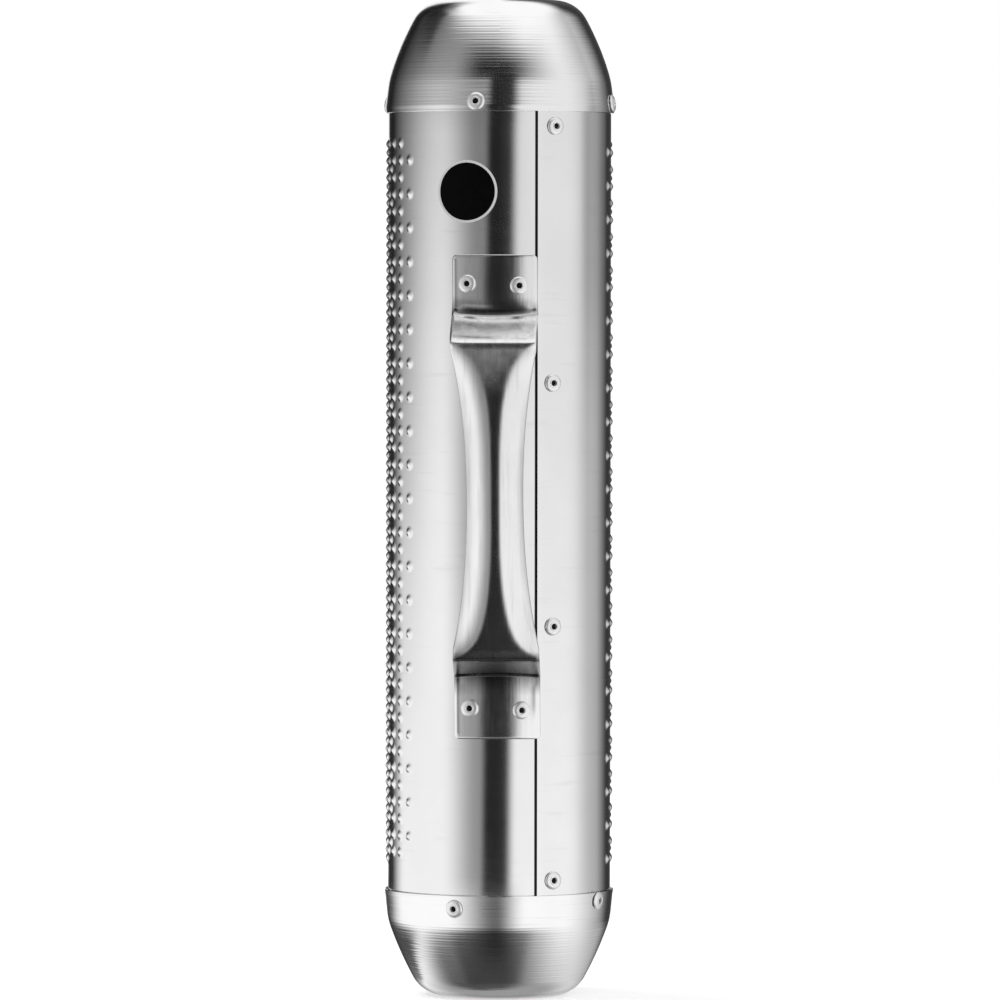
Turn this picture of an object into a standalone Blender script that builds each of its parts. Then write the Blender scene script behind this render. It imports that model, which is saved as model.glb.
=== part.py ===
"""Guira, a metal scraper: an embossed steel drum, two spun end caps and a riveted strap handle.

Lengths are in metres. The origin is the centre of the lower end face, +Z runs up the drum and the
handle faces -Y. Angles are measured round the drum, from its front (-Y) towards +X.
"""

import math

import bmesh
import bpy
from mathutils import Matrix, Vector

# Drum
DRUM_LENGTH = 0.4300
TUBE_RADIUS = 0.0481
SHEET_THICKNESS = 0.0004
FIT_GAP = 0.0003

# Lap seam of the rolled sheet: its visible edge, how far it overlaps and how it comes down again
SEAM_ANGLE = math.radians(18.8)
SEAM_OVERLAP = 0.0185
SEAM_GAP = 0.00015
SEAM_RAMP = 0.0150
SEAM_RIVET_EDGE = 0.0084
SEAM_RIVET_MARGIN = 0.0066
# How far each hand-marked seam rivet, from the bottom up, sits off an even spacing: upwards and sideways
SEAM_RIVET_DRIFT = ((0.0, -0.0004), (0.0012, -0.0006), (-0.0022, -0.0008), (0.0, 0.0003))

# Embossed field: a diagonal lattice of bumps that leaves a plain strip at the front
BUMP_PITCH_ALONG = 0.00726
BUMP_PITCH_ROUND = 0.00729
BUMP_HEIGHT = 0.00105
PLAIN_RIGHT_ANGLE = math.radians(75.6)
PLAIN_LEFT_ANGLE = math.radians(-53.3)
FIELD_MARGIN = 0.0136
# How the outermost columns thin out: 1 keeps every bump, 2 every second one and 0 none
EDGE_THINNING = (2, 0, 1, 0, 1, 2)

# Spun end caps: flat end, corner fillet, bowed cone and a skirt that widens to its rim
CAP_WALL = 0.0004
END_FLAT_RADIUS = 0.0239
END_FILLET = 0.0152
CONE_ANGLE = math.radians(28.4)
BOWL_DEPTH = 0.0375
UPPER_SKIRT = 0.0109
LOWER_SKIRT = 0.0083
SKIRT_TAPER = math.radians(4.9)
TUBE_END_GAP = 0.0005
UPPER_CAP_RIVET_INSET = 0.0039
LOWER_CAP_RIVET_INSET = 0.0049
UPPER_CAP_RIVET_ANGLE = math.radians(-12.0)
LOWER_CAP_RIVET_ANGLE = math.radians(-23.0)
# How far each hand-marked cap rivet sits off a quarter turn from the one before: upwards and sideways
UPPER_CAP_RIVET_DRIFT = ((0.0, 0.0), (0.0, 0.0), (0.0, 0.0), (0.0, 0.0))
LOWER_CAP_RIVET_DRIFT = ((-0.0006, 0.0), (0.0016, -0.0060), (0.0, 0.0), (0.0, 0.0))

# Strap handle: two feet on the tube, two risers and an arched grip
HANDLE_THICKNESS = 0.0010
FOOT_WIDTH = 0.0376
# How much wider than the tube the curve is that the feet are bent to
FOOT_SPRING = 0.0136
UPPER_FOOT_MARGIN = 0.0615
UPPER_FOOT_LENGTH = 0.0268
LOWER_FOOT_MARGIN = 0.0674
LOWER_FOOT_LENGTH = 0.0277
UPPER_RISER_RUN = 0.0098
LOWER_RISER_RUN = 0.0067
HANDLE_RISE = 0.0220
GRIP_BOW = 0.0030
RIDGE_WIDTH = 0.0370
WAIST_WIDTH = 0.0248
WAIST_BEND = math.radians(62.0)
# How the grip changes along its length, as powers of the share from its middle to its end
WIDENING = 2.2
FLATTENING = (4.0, 9.0)
UNBENDING = (2.0, 12.0)
UNBENDING_SHARE = 0.35
FOOT_CORNER = 0.0022
FOLD_REACH = 0.0020
# A fold's rounding takes at most this share of the way to the next row
FOLD_LIMIT = 0.8
HANDLE_RIVET_SPACING = 0.0221
HANDLE_RIVET_OFFSET = -0.0007
# How much lower the right-hand rivet of each foot sits
HANDLE_RIVET_DROP = 0.0008
HANDLE_RIVET_MARGIN = 0.0128
UPPER_FOOT_ANGLE = math.radians(-2.5)
LOWER_FOOT_ANGLE = math.radians(-0.9)

# Open-end blind rivets and the mandrel stubs left inside them
RIVET_HEAD_RADIUS = 0.00385
RIVET_HEAD_HEIGHT = 0.0013
RIVET_CROWN_RADIUS = 0.0027
RIVET_CROWN_DROP = 0.0003
RIVET_SHANK_RADIUS = 0.0020
RIVET_BORE_RADIUS = 0.0013
RIVET_TAIL_RADIUS = 0.0028
RIVET_TAIL_LENGTH = 0.0030
MANDREL_CLEARANCE = 0.0002
MANDREL_RECESS = 0.0009
MANDREL_HEAD_RADIUS = 0.0018
MANDREL_HEAD_LENGTH = 0.0014

# Round label on the plain strip
LABEL_RADIUS = 0.0134
LABEL_THICKNESS = 0.0002
LABEL_ANGLE = math.radians(-17.0)
LABEL_DROP = 0.0346

# Facets
PLAIN_STEP = math.radians(6.0)
CAP_SEGMENTS = 36
OUTER_FILLET_STEPS = 3
OUTER_BOWL_STEPS = 3
INNER_FILLET_STEPS = 2
INNER_BOWL_STEPS = 2
RIVET_SEGMENTS = 8
MANDREL_SEGMENTS = 6
LABEL_STRIPS = 10
STRAP_COLUMNS = 8
GRIP_STEPS = 11
CORNER_STEPS = 2
SMOOTH_ANGLE = math.radians(40.0)
MERGE_DISTANCE = 0.000001

# Sizes that follow from those above
SEAM_STEP = SHEET_THICKNESS + SEAM_GAP
TUBE_BOTTOM = BOWL_DEPTH + TUBE_END_GAP
TUBE_TOP = DRUM_LENGTH - TUBE_BOTTOM
LOWER_RIM = BOWL_DEPTH + LOWER_SKIRT
UPPER_RIM = DRUM_LENGTH - BOWL_DEPTH - UPPER_SKIRT
# The cap's flat facets, and not only its edges, clear the lap seam
RIM_BORE = (TUBE_RADIUS + SEAM_STEP + FIT_GAP) / math.cos(math.pi / CAP_SEGMENTS)
RIM_RADIUS = RIM_BORE + CAP_WALL
SKIRT_SLOPE = math.tan(SKIRT_TAPER)
TUBE_BORE = TUBE_RADIUS - SHEET_THICKNESS
FIELD_START = PLAIN_RIGHT_ANGLE
FIELD_END = PLAIN_LEFT_ANGLE + 2.0 * math.pi
FOOT_HALF = FOOT_WIDTH / 2.0
RIDGE_HALF = RIDGE_WIDTH / 2.0
WAIST_HALF = WAIST_WIDTH / 2.0
FOOT_RADIUS = TUBE_RADIUS + FIT_GAP + HANDLE_THICKNESS
FOOT_CURVE = FOOT_RADIUS + FOOT_SPRING
RIDGE_RADIUS = TUBE_RADIUS + HANDLE_RISE
UPPER_FOOT_END = UPPER_RIM - UPPER_FOOT_MARGIN
LOWER_FOOT_END = LOWER_RIM + LOWER_FOOT_MARGIN
UPPER_FOLD = UPPER_FOOT_END - UPPER_FOOT_LENGTH
LOWER_FOLD = LOWER_FOOT_END + LOWER_FOOT_LENGTH
UPPER_RIDGE = UPPER_FOLD - UPPER_RISER_RUN
LOWER_RIDGE = LOWER_FOLD + LOWER_RISER_RUN
UPPER_FOOT_RIVETS = UPPER_FOOT_END - HANDLE_RIVET_MARGIN
LOWER_FOOT_RIVETS = LOWER_FOOT_END + HANDLE_RIVET_MARGIN
MANDREL_RADIUS = RIVET_BORE_RADIUS - MANDREL_CLEARANCE


def clear_scene():
    for item in list(bpy.data.objects):
        bpy.data.objects.remove(item, do_unlink=True)


def finish(name, colour, roughness, metallic=1.0):
    """A material from a base colour, a roughness and a metallic value."""
    material = bpy.data.materials.new(name)
    material.use_nodes = True
    shader = material.node_tree.nodes["Principled BSDF"]
    shader.inputs["Base Color"].default_value = (*colour, 1.0)
    shader.inputs["Roughness"].default_value = roughness
    shader.inputs["Metallic"].default_value = metallic
    return material


def add_object(name, bm, material):
    """Turn a bmesh into a smooth-shaded object of the scene."""
    mesh = bpy.data.meshes.new(name)
    bm.to_mesh(mesh)
    bm.free()
    mesh.shade_smooth()
    mesh.set_sharp_from_angle(angle=SMOOTH_ANGLE)
    mesh.materials.append(material)
    item = bpy.data.objects.new(name, mesh)
    bpy.context.scene.collection.objects.link(item)
    return item


def polar(radius, angle, height):
    """The point at a radius, an angle from the front and a height."""
    return Vector((radius * math.sin(angle), -radius * math.cos(angle), height))


def radial_frame(radius, angle, height, lean=0.0):
    """The placing of a piece whose own Z axis points out of the drum, leaning up by an angle."""
    facing_front = Matrix.Rotation(math.radians(90.0) - lean, 4, "X")
    return Matrix.Translation(polar(radius, angle, height)) @ Matrix.Rotation(angle, 4, "Z") @ facing_front


def smooth_step(value):
    share = min(max(value, 0.0), 1.0)
    return share * share * (3.0 - 2.0 * share)


def turned(profile, segments, closed):
    """Spin an outline of (radius, height) points round Z into a solid."""
    bm = bmesh.new()
    points = [bm.verts.new((radius, 0.0, height)) for radius, height in profile]
    edges = [bm.edges.new(pair) for pair in zip(points, points[1:])]
    if closed:
        edges.append(bm.edges.new((points[-1], points[0])))
    bmesh.ops.spin(bm, geom=points + edges, cent=(0.0, 0.0, 0.0), axis=(0.0, 0.0, 1.0),
                   angle=2.0 * math.pi, steps=segments, use_merge=True)
    bmesh.ops.remove_doubles(bm, verts=bm.verts, dist=MERGE_DISTANCE)
    bmesh.ops.recalc_face_normals(bm, faces=bm.faces)
    return bm


def sheet_radius(angle):
    """Outside radius of the rolled sheet, at an angle counted on from its visible edge."""
    past_overlap = (angle - SEAM_ANGLE) * TUBE_RADIUS - SEAM_OVERLAP
    return TUBE_RADIUS + SEAM_STEP * (1.0 - smooth_step(past_overlap / SEAM_RAMP))


def tuck(height):
    """How far the tube's ends draw in under the tapered skirts of the caps."""
    return SKIRT_SLOPE * max(0.0, height - UPPER_RIM, LOWER_RIM - height)


def evenly(start, end, step):
    """Numbers from start to end, both included, no further apart than the step."""
    count = max(1, math.ceil((end - start) / step))
    return [start + (end - start) * index / count for index in range(count + 1)]


def bump_is_there(column, row, columns):
    """Whether the lattice point at a column and a row has a bump."""
    from_right = column
    from_left = columns - 1 - column
    from_edge = min(from_right, from_left)
    keep = EDGE_THINNING[from_edge] if from_edge < len(EDGE_THINNING) else 1
    if keep == 0:
        return False
    first = 0 if from_right < from_left else keep - 1
    return (row // 2 - first) % keep == 0


def stitch(bm, left, right):
    """Fill the band between two columns of points, each listed from the top down."""
    at_left = 0
    at_right = 0
    while at_left < len(left) - 1 or at_right < len(right) - 1:
        left_done = at_left == len(left) - 1
        right_done = at_right == len(right) - 1
        if right_done or (not left_done and left[at_left + 1].co.z > right[at_right + 1].co.z):
            bm.faces.new((left[at_left], right[at_right], left[at_left + 1]))
            at_left += 1
        else:
            bm.faces.new((left[at_left], right[at_right], right[at_right + 1]))
            at_right += 1


def tube_sheet(material):
    """One sheet rolled into a tube, with its lap seam and its embossed field of bumps."""
    half_along = BUMP_PITCH_ALONG / 2.0
    field_room = UPPER_RIM - LOWER_RIM - 2.0 * FIELD_MARGIN
    rows = int(field_room / half_along) + 1
    field_top = (UPPER_RIM + LOWER_RIM) / 2.0 + half_along * (rows - 1) / 2.0
    field_span = FIELD_END - FIELD_START
    columns = round(field_span * TUBE_RADIUS / (BUMP_PITCH_ROUND / 2.0)) + 1
    half_round = field_span / (columns - 1)

    bm = bmesh.new()
    missing = []

    def sheet_points(depth, angle, heights):
        radius = sheet_radius(angle) - depth
        return [bm.verts.new(polar(radius - tuck(height), angle, height)) for height in heights]

    def lattice_column(column):
        angle = FIELD_START + column * half_round
        points = sheet_points(0.0, angle, (TUBE_TOP, UPPER_RIM))
        for row in range(-1, rows + 1):
            in_field = 0 <= column < columns and 0 <= row < rows and (column + row) % 2 == 1
            raised = in_field and bump_is_there(column, row, columns)
            radius = sheet_radius(angle) + (BUMP_HEIGHT if raised else 0.0)
            points.append(bm.verts.new(polar(radius, angle, field_top - row * half_along)))
            if in_field and not raised:
                missing.append((column + 1, len(points) - 1))
        points += sheet_points(0.0, angle, (LOWER_RIM, TUBE_BOTTOM))
        return points

    right_end = FIELD_START - half_round
    left_end = FIELD_END + half_round
    hidden_edge = SEAM_ANGLE + 2.0 * math.pi + SEAM_OVERLAP / TUBE_RADIUS
    before_angles = evenly(SEAM_ANGLE, right_end, PLAIN_STEP)[:-1]
    field_angles = [FIELD_START + column * half_round for column in range(-1, columns + 1)]
    after_angles = evenly(left_end, hidden_edge, PLAIN_STEP)[1:]
    plain_heights = (TUBE_TOP, UPPER_RIM, LOWER_RIM, TUBE_BOTTOM)
    before = [sheet_points(0.0, angle, plain_heights) for angle in before_angles]
    field = [lattice_column(column) for column in range(-1, columns + 1)]
    after = [sheet_points(0.0, angle, plain_heights) for angle in after_angles]

    for left, right in zip(before, before[1:] + field[:1]):
        stitch(bm, left, right)
    for left, right in zip(field[-1:] + after[:-1], after):
        stitch(bm, left, right)
    for column in range(len(field) - 1):
        left = field[column]
        right = field[column + 1]
        for row in range(len(left) - 1):
            corners = (left[row], right[row], right[row + 1], left[row + 1])
            turn = (column + row) % 2
            first, second, third, fourth = corners[turn:] + corners[:turn]
            bm.faces.new((first, second, third))
            bm.faces.new((first, third, fourth))

    # A lattice point without a bump gives way to one flat face between its four neighbours
    for column, row in missing:
        bm.verts.remove(field[column][row])
        bm.faces.new((field[column][row - 1], field[column + 1][row],
                      field[column][row + 1], field[column - 1][row]))

    outside = before + field + after
    all_angles = before_angles + field_angles + after_angles
    inside = [sheet_points(SHEET_THICKNESS, angle, plain_heights) for angle in all_angles]
    for index in range(len(outside) - 1):
        left = outside[index]
        right = outside[index + 1]
        inner_left = inside[index]
        inner_right = inside[index + 1]
        stitch(bm, inner_left, inner_right)
        bm.faces.new((left[0], inner_left[0], inner_right[0], right[0]))
        bm.faces.new((left[-1], right[-1], inner_right[-1], inner_left[-1]))
    for column, inner in ((outside[0], inside[0]), (outside[-1], inside[-1])):
        bm.faces.new(column + inner[::-1])

    bmesh.ops.recalc_face_normals(bm, faces=bm.faces)
    return add_object("tube_sheet", bm, material)


def cap_outline(rim_depth, inset, fillet_steps, bowl_steps):
    """Points (radius, depth) of a cap's wall from the axis to its rim, set in by a wall thickness."""
    fillet = END_FILLET - inset
    heading = math.radians(90.0) - CONE_ANGLE
    points = [Vector((0.0, inset))]
    for step in range(fillet_steps + 1):
        angle = heading * step / fillet_steps
        points.append(Vector((END_FLAT_RADIUS + fillet * math.sin(angle),
                              END_FILLET - fillet * math.cos(angle))))
    rim = Vector((RIM_RADIUS - inset, rim_depth))
    start = points[-1]
    end = Vector((rim.x - SKIRT_SLOPE * (rim_depth - BOWL_DEPTH), BOWL_DEPTH))
    # The bowed wall leaves along the cone and arrives along the skirt: their lines cross at its corner
    cone_slope = math.tan(CONE_ANGLE)
    skirt_at_start = end.x - SKIRT_SLOPE * (end.y - start.y)
    crossing = (skirt_at_start - start.x) / (cone_slope - SKIRT_SLOPE)
    corner = Vector((start.x + cone_slope * crossing, start.y + crossing))
    for step in range(1, bowl_steps + 1):
        share = step / bowl_steps
        points.append(start.lerp(corner, share).lerp(corner.lerp(end, share), share))
    return points + [rim]


def end_cap(name, skirt, upside_down, material):
    """One spun cup: its bowl, its skirt over the tube's end and its wall all round."""
    outer = cap_outline(BOWL_DEPTH + skirt, 0.0, OUTER_FILLET_STEPS, OUTER_BOWL_STEPS)
    inner = cap_outline(BOWL_DEPTH + skirt, CAP_WALL, INNER_FILLET_STEPS, INNER_BOWL_STEPS)
    profile = outer + inner[::-1]
    item = add_object(name, turned(profile, CAP_SEGMENTS, closed=False), material)
    if upside_down:
        item.rotation_euler = (math.radians(180.0), 0.0, 0.0)
        item.location.z = DRUM_LENGTH
    return item


def foot_angle(height):
    """Angle of the handle's middle line, which leans a little from foot to foot."""
    share = (height - LOWER_FOOT_RIVETS) / (UPPER_FOOT_RIVETS - LOWER_FOOT_RIVETS)
    return LOWER_FOOT_ANGLE + (UPPER_FOOT_ANGLE - LOWER_FOOT_ANGLE) * share


def on_handle(across, outward, height):
    """A point of the handle from its distance across the strap and out from the drum's axis."""
    angle = foot_angle(height)
    return Vector((across * math.cos(angle) + outward * math.sin(angle),
                   across * math.sin(angle) - outward * math.cos(angle), height))


def strap_shares():
    return [-1.0 + 2.0 * column / STRAP_COLUMNS for column in range(STRAP_COLUMNS + 1)]


def across_foot(way):
    """Distance across and height lost at a way along a foot's curve from its middle line."""
    turn = way / FOOT_CURVE
    return FOOT_CURVE * math.sin(turn), FOOT_CURVE * (1.0 - math.cos(turn))


def foot_row(height, half_width, away=0.0, slope=0.0):
    """A row of points across a foot; away and slope bend it where a riser meets the curved foot."""
    row = []
    for share in strap_shares():
        across, drop = across_foot(share * half_width)
        row.append(on_handle(across, FOOT_RADIUS - drop, height + away * drop * slope))
    return row


def grip_row(share_along):
    """A row across the grip: a flat that narrows from its ends (-1 and 1), with rounded sides."""
    reach = abs(share_along)
    middle = (UPPER_RIDGE + LOWER_RIDGE) / 2.0
    height = middle + share_along * (UPPER_RIDGE - LOWER_RIDGE) / 2.0
    crown = RIDGE_RADIUS + GRIP_BOW * (1.0 - reach ** 2)
    half = WAIST_HALF + (RIDGE_HALF - WAIST_HALF) * reach ** WIDENING
    flat = RIDGE_HALF * (reach ** FLATTENING[0] + reach ** FLATTENING[1]) / 2.0
    unbent = UNBENDING_SHARE * reach ** UNBENDING[0] + (1.0 - UNBENDING_SHARE) * reach ** UNBENDING[1]
    bend = WAIST_BEND * (1.0 - unbent)
    row = []
    for share in strap_shares():
        if reach == 1.0:
            row.append(on_handle(share * half, crown, height))
            continue
        radius = (half - flat) / math.sin(bend)
        way = abs(share) * (flat + radius * bend)
        turn = max(way - flat, 0.0) / radius
        across = min(way, flat) + radius * math.sin(turn)
        outward = crown - radius * (1.0 - math.cos(turn))
        row.append(on_handle(math.copysign(across, share), outward, height))
    return row


def foot_rows(free_end, away):
    """Rows of one foot from its free end, with rounded corners, up to where its full width starts."""
    rows = []
    for step in range(CORNER_STEPS + 1):
        angle = math.radians(90.0) * step / CORNER_STEPS
        height = free_end - away * FOOT_CORNER * (1.0 - math.cos(angle))
        rows.append(foot_row(height, FOOT_HALF - FOOT_CORNER * (1.0 - math.sin(angle))))
    return rows


def rounded(before, corner, after):
    """Replace a sharp row by three rows that round the fold."""
    def towards(point, other):
        way = other - point
        return point + way * min(FOLD_LIMIT, FOLD_REACH / way.length)

    entering = [towards(point, other) for point, other in zip(corner, before)]
    leaving = [towards(point, other) for point, other in zip(corner, after)]
    middle = [(a + 2.0 * b + c) / 4.0 for a, b, c in zip(entering, corner, leaving)]
    return [entering, middle, leaving]


def handle(material):
    """One strap, pressed into two feet, two risers and an arched grip, as a sheet with a thickness."""
    riser_rise = RIDGE_RADIUS - FOOT_RADIUS
    lower = foot_rows(LOWER_FOOT_END, away=-1.0)
    upper = foot_rows(UPPER_FOOT_END, away=1.0)
    lower_fold = foot_row(LOWER_FOLD, FOOT_HALF, -1.0, LOWER_RISER_RUN / riser_rise)
    upper_fold = foot_row(UPPER_FOLD, FOOT_HALF, 1.0, UPPER_RISER_RUN / riser_rise)
    grip = [grip_row(-math.cos(math.pi * step / GRIP_STEPS)) for step in range(1, GRIP_STEPS)]
    lower_ridge = grip_row(-1.0)
    upper_ridge = grip_row(1.0)

    rows = lower
    rows += rounded(lower[-1], lower_fold, lower_ridge)
    rows += rounded(lower_fold, lower_ridge, grip[0])
    rows += grip
    rows += rounded(grip[-1], upper_ridge, upper_fold)
    rows += rounded(upper_ridge, upper_fold, upper[-1])
    rows += upper[::-1]

    bm = bmesh.new()
    grid = [[bm.verts.new(point) for point in row] for row in rows]
    for below, above in zip(grid, grid[1:]):
        for column in range(STRAP_COLUMNS):
            bm.faces.new((below[column], below[column + 1], above[column + 1], above[column]))
    item = add_object("handle", bm, material)
    thicken = item.modifiers.new("sheet thickness", "SOLIDIFY")
    thicken.thickness = HANDLE_THICKNESS
    thicken.offset = -1.0
    thicken.use_even_offset = True
    return item


def rivet(name, seat, bore, place, material, mandrel_material):
    """A set blind rivet at an (angle, height, lean) place, from the radius it seats on to the tube's bore."""
    grip = seat + FIT_GAP - (bore - FIT_GAP)
    tail_end = -grip - RIVET_TAIL_LENGTH
    body = [
        (RIVET_BORE_RADIUS, RIVET_HEAD_HEIGHT),
        (RIVET_CROWN_RADIUS, RIVET_HEAD_HEIGHT - RIVET_CROWN_DROP),
        (RIVET_HEAD_RADIUS, 0.0),
        (RIVET_SHANK_RADIUS, 0.0),
        (RIVET_SHANK_RADIUS, -grip),
        (RIVET_TAIL_RADIUS, -grip),
        (RIVET_BORE_RADIUS, tail_end),
    ]
    item = add_object(name, turned(body, RIVET_SEGMENTS, closed=True), material)
    item.matrix_basis = radial_frame(seat + FIT_GAP, *place)

    head_start = tail_end - FIT_GAP
    head_end = head_start - MANDREL_HEAD_LENGTH
    stub = [
        (0.0, RIVET_HEAD_HEIGHT - MANDREL_RECESS),
        (MANDREL_RADIUS, RIVET_HEAD_HEIGHT - MANDREL_RECESS),
        (MANDREL_RADIUS, head_start),
        (MANDREL_HEAD_RADIUS, head_start),
        (0.0, head_end),
    ]
    item = add_object(name + "_mandrel", turned(stub, MANDREL_SEGMENTS, closed=False), mandrel_material)
    item.matrix_basis = radial_frame(seat + FIT_GAP, *place)


def rivet_holes(name, seat, places, pieces):
    """Cut clearance holes for rivets at (angle, height, lean) places through each of the pieces."""
    bm = bmesh.new()
    radius = RIVET_SHANK_RADIUS + FIT_GAP
    for place in places:
        bmesh.ops.create_cone(bm, cap_ends=True, segments=RIVET_SEGMENTS, radius1=radius, radius2=radius,
                              depth=HANDLE_RISE, matrix=radial_frame(seat, *place))
    cutter = add_object(name, bm, pieces[0].data.materials[0])
    cutter.hide_render = True
    cutter.display_type = "WIRE"
    for piece in pieces:
        cut = piece.modifiers.new(name, "BOOLEAN")
        cut.operation = "DIFFERENCE"
        cut.solver = "EXACT"
        cut.object = cutter


def round_label(material):
    """A thin disc wrapped onto the plain strip of the tube, made of upright strips."""
    radius = TUBE_RADIUS + FIT_GAP + LABEL_THICKNESS
    bm = bmesh.new()
    columns = []
    for step in range(LABEL_STRIPS + 1):
        turn = math.pi * step / LABEL_STRIPS
        angle = -LABEL_RADIUS * math.cos(turn) / radius
        half_height = LABEL_RADIUS * math.sin(turn)
        ends = (0.0,) if step in (0, LABEL_STRIPS) else (half_height, -half_height)
        columns.append([bm.verts.new(polar(radius, angle, height)) for height in ends])
    for left, right in zip(columns, columns[1:]):
        bm.faces.new(left + right[::-1])
    item = add_object("round_label", bm, material)
    item.location.z = UPPER_RIM - LABEL_DROP
    item.rotation_euler.z = LABEL_ANGLE
    thicken = item.modifiers.new("film thickness", "SOLIDIFY")
    thicken.thickness = LABEL_THICKNESS
    thicken.offset = -1.0
    return item


def build():
    clear_scene()
    tube_steel = finish("rolled steel", (0.87, 0.87, 0.87), 0.16)
    cap_steel = finish("spun steel", (0.95, 0.95, 0.95), 0.18)
    handle_steel = finish("pressed steel", (0.87, 0.87, 0.87), 0.20)
    rivet_metal = finish("rivet aluminium", (0.95, 0.95, 0.95), 0.40)
    mandrel_metal = finish("mandrel steel", (0.25, 0.25, 0.26), 0.45)
    label_film = finish("label film", (0.03, 0.03, 0.03), 0.40, metallic=0.0)

    tube = tube_sheet(tube_steel)
    upper_cap = end_cap("upper_end_cap", UPPER_SKIRT, True, cap_steel)
    lower_cap = end_cap("lower_end_cap", LOWER_SKIRT, False, cap_steel)
    strap = handle(handle_steel)
    round_label(label_film)

    cap_rivets = (
        ("upper_cap_rivet", UPPER_CAP_RIVET_ANGLE, UPPER_RIM + UPPER_CAP_RIVET_INSET, SKIRT_TAPER,
         UPPER_CAP_RIVET_DRIFT, upper_cap),
        ("lower_cap_rivet", LOWER_CAP_RIVET_ANGLE, LOWER_RIM - LOWER_CAP_RIVET_INSET, -SKIRT_TAPER,
         LOWER_CAP_RIVET_DRIFT, lower_cap),
    )
    for name, first_angle, height, lean, drifts, cap in cap_rivets:
        quarters = [first_angle + 2.0 * math.pi * index / len(drifts) for index in range(len(drifts))]
        places = [(quarter + sideways / RIM_RADIUS, height + upwards, lean)
                  for quarter, (upwards, sideways) in zip(quarters, drifts)]
        rivet_holes(name + "_holes", RIM_RADIUS, places, (tube, cap))
        for index, place in enumerate(places):
            drawn_in = tuck(place[1])
            rivet(f"{name}_{index + 1}", RIM_RADIUS - drawn_in, TUBE_BORE - drawn_in, place,
                  rivet_metal, mandrel_metal)

    first = LOWER_RIM + SEAM_RIVET_MARGIN
    last = UPPER_RIM - SEAM_RIVET_MARGIN
    seam_angle = SEAM_ANGLE + SEAM_RIVET_EDGE / TUBE_RADIUS
    spacing = (last - first) / (len(SEAM_RIVET_DRIFT) - 1)
    places = [(seam_angle + sideways / TUBE_RADIUS, first + spacing * index + upwards, 0.0)
              for index, (upwards, sideways) in enumerate(SEAM_RIVET_DRIFT)]
    seat = TUBE_RADIUS + SEAM_STEP
    rivet_holes("seam_rivet_holes", seat, places, (tube,))
    for index, place in enumerate(places):
        rivet(f"seam_rivet_{index + 1}", seat, TUBE_BORE, place, rivet_metal, mandrel_metal)

    places = []
    seats = []
    for height in (LOWER_FOOT_RIVETS, UPPER_FOOT_RIVETS):
        for side in (-1.0, 1.0):
            across, drop = across_foot(side * HANDLE_RIVET_SPACING / 2.0 + HANDLE_RIVET_OFFSET)
            outward = FOOT_RADIUS - drop
            places.append((foot_angle(height) + math.atan2(across, outward),
                           height - side * HANDLE_RIVET_DROP / 2.0, 0.0))
            seats.append(math.hypot(across, outward))
    rivet_holes("handle_rivet_holes", FOOT_RADIUS, places, (tube, strap))
    for index, (place, seat) in enumerate(zip(places, seats)):
        rivet(f"handle_rivet_{index + 1}", seat, TUBE_BORE, place, rivet_metal, mandrel_metal)


build()
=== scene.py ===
"""Looks of the guira: finer meshes, metal finishes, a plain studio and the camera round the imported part.

Lengths are in metres, in the part's own frame: the origin is the centre of the lower end face, +Z runs
up the drum and the handle faces -Y. Angles are measured round the drum, from its front towards +X.
"""

import math

import bmesh
import bpy
from mathutils import Matrix, Vector


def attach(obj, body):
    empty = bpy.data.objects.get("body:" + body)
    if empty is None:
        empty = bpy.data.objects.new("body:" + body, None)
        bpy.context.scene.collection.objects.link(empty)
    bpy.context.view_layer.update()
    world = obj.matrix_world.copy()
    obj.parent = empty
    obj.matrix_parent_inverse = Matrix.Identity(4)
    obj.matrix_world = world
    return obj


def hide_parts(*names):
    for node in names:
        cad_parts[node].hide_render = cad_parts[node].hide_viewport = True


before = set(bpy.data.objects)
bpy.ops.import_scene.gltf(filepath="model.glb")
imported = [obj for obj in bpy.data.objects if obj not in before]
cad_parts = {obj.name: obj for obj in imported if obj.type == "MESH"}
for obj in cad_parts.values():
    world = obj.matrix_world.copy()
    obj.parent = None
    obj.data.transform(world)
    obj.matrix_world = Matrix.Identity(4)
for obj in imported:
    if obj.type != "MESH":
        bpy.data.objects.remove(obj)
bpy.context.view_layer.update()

# Drum
DRUM_LENGTH = 0.4300
TUBE_RADIUS = 0.0481
SHEET_THICKNESS = 0.0004
FIT_GAP = 0.0003
BOWL_DEPTH = 0.0375
UPPER_SKIRT = 0.0109
LOWER_SKIRT = 0.0083
TUBE_END_GAP = 0.0005
TUBE_TUCK = 0.0008
TUBE_TUCK_LENGTH = 0.0050

# Lap seam of the rolled sheet; a drift is how far up and sideways a rivet sits from its even place
SEAM_ANGLE = math.radians(19.4)
SEAM_OVERLAP = 0.0185
SEAM_STEP = 0.0005
SEAM_RAMP = 0.0150
SEAM_SPRING = 0.00030
SEAM_SPRING_REACH = 0.0060
SEAM_RIVET_EDGE = 0.0079
SEAM_RIVET_MARGIN = 0.0066
SEAM_RIVET_DRIFT = ((0.0, -0.0004), (0.0012, -0.0006), (-0.0022, -0.0008), (0.0, 0.0003))

# Embossed field; each column in from its edge keeps every bump, every second one, or none for a 0
BUMP_PITCH_ALONG = 0.00726
BUMP_PITCH_ROUND = 0.00729
BUMP_HEIGHT = 0.00105
BUMP_RADIUS = 0.0025
FIELD_START = math.radians(75.6)
FIELD_END = math.radians(306.7)
FIELD_MARGIN = 0.0136
EDGE_THINNING = (2, 0, 1, 0, 1, 2)

# Spun end caps; a slope is the gain in radius over the gain in depth
CAP_WALL = 0.0004
CORNER_RADIUS = 0.0373
CORNER_DEPTH = 0.0080
CONE_SLOPE = 0.54
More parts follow.
